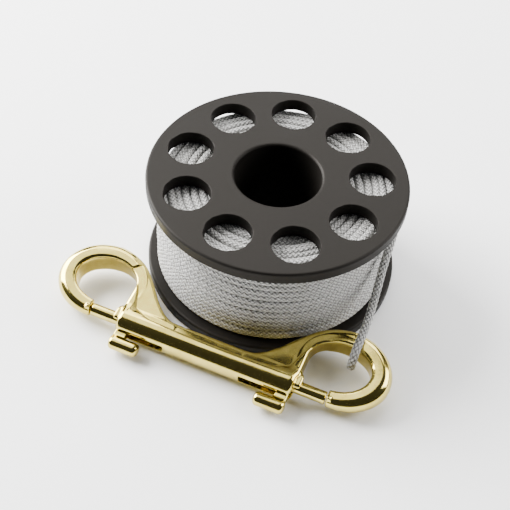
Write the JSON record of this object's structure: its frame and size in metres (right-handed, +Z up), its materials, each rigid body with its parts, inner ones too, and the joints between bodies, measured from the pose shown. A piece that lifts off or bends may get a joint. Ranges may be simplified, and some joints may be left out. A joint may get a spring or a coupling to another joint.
{
  "type": "finger spool with line and double-ended bolt snap",
  "caption": "Flanged finger spool with drilled holes, wound full of white braided line, lying beside a brass snap with a spring bolt at each end.",
  "frame": {"origin": "middle of the base under the spool and the snap, on the surface they lie on", "axes": "+X along the barrel of the snap, +Y from the snap to the spool, +Z up along the spool's axis"},
  "size_m": [0.1138, 0.1018, 0.04],
  "materials": {
    "acetal": "machined, faint turning marks",
    "line": "fine diamond braid",
    "brass": "polished",
    "spring_steel": "drawn wire"
  },
  "bodies": {
    "snap": {"snap_body": "brass", "left_spring": "spring_steel", "right_spring": "spring_steel"},
    "left_slider": {"left_bolt": "brass", "left_trigger": "brass"},
    "right_slider": {"right_bolt": "brass", "right_trigger": "brass"},
    "line_end": {"line_tail": "line"},
    "reel": {"spool": "acetal", "line_winding": "line"}
  },
  "joints": [
    {"name": "left_pull", "type": "slide", "parent": "snap", "child": "left_slider", "axis": [1, 0, 0], "range_m": [0, 0.0105], "stiffness_N_per_m": 300, "springref_m": -0.004, "deforming": ["left_spring"]},
    {"name": "right_pull", "type": "slide", "parent": "snap", "child": "right_slider", "axis": [-1, 0, 0], "range_m": [0, 0.0105], "stiffness_N_per_m": 300, "springref_m": -0.004, "deforming": ["right_spring"]},
    {"name": "reel_lift", "type": "slide", "parent": "snap", "child": "line_end", "axis": [-0.48, 0.36, 0.8], "range_m": [0, 0.06]},
    {"name": "reel_spin", "type": "hinge", "parent": "line_end", "child": "reel", "pos_m": [0.0017, 0.00886, 0.02], "axis": [0, 0, 1], "continuous": true}
  ]
}
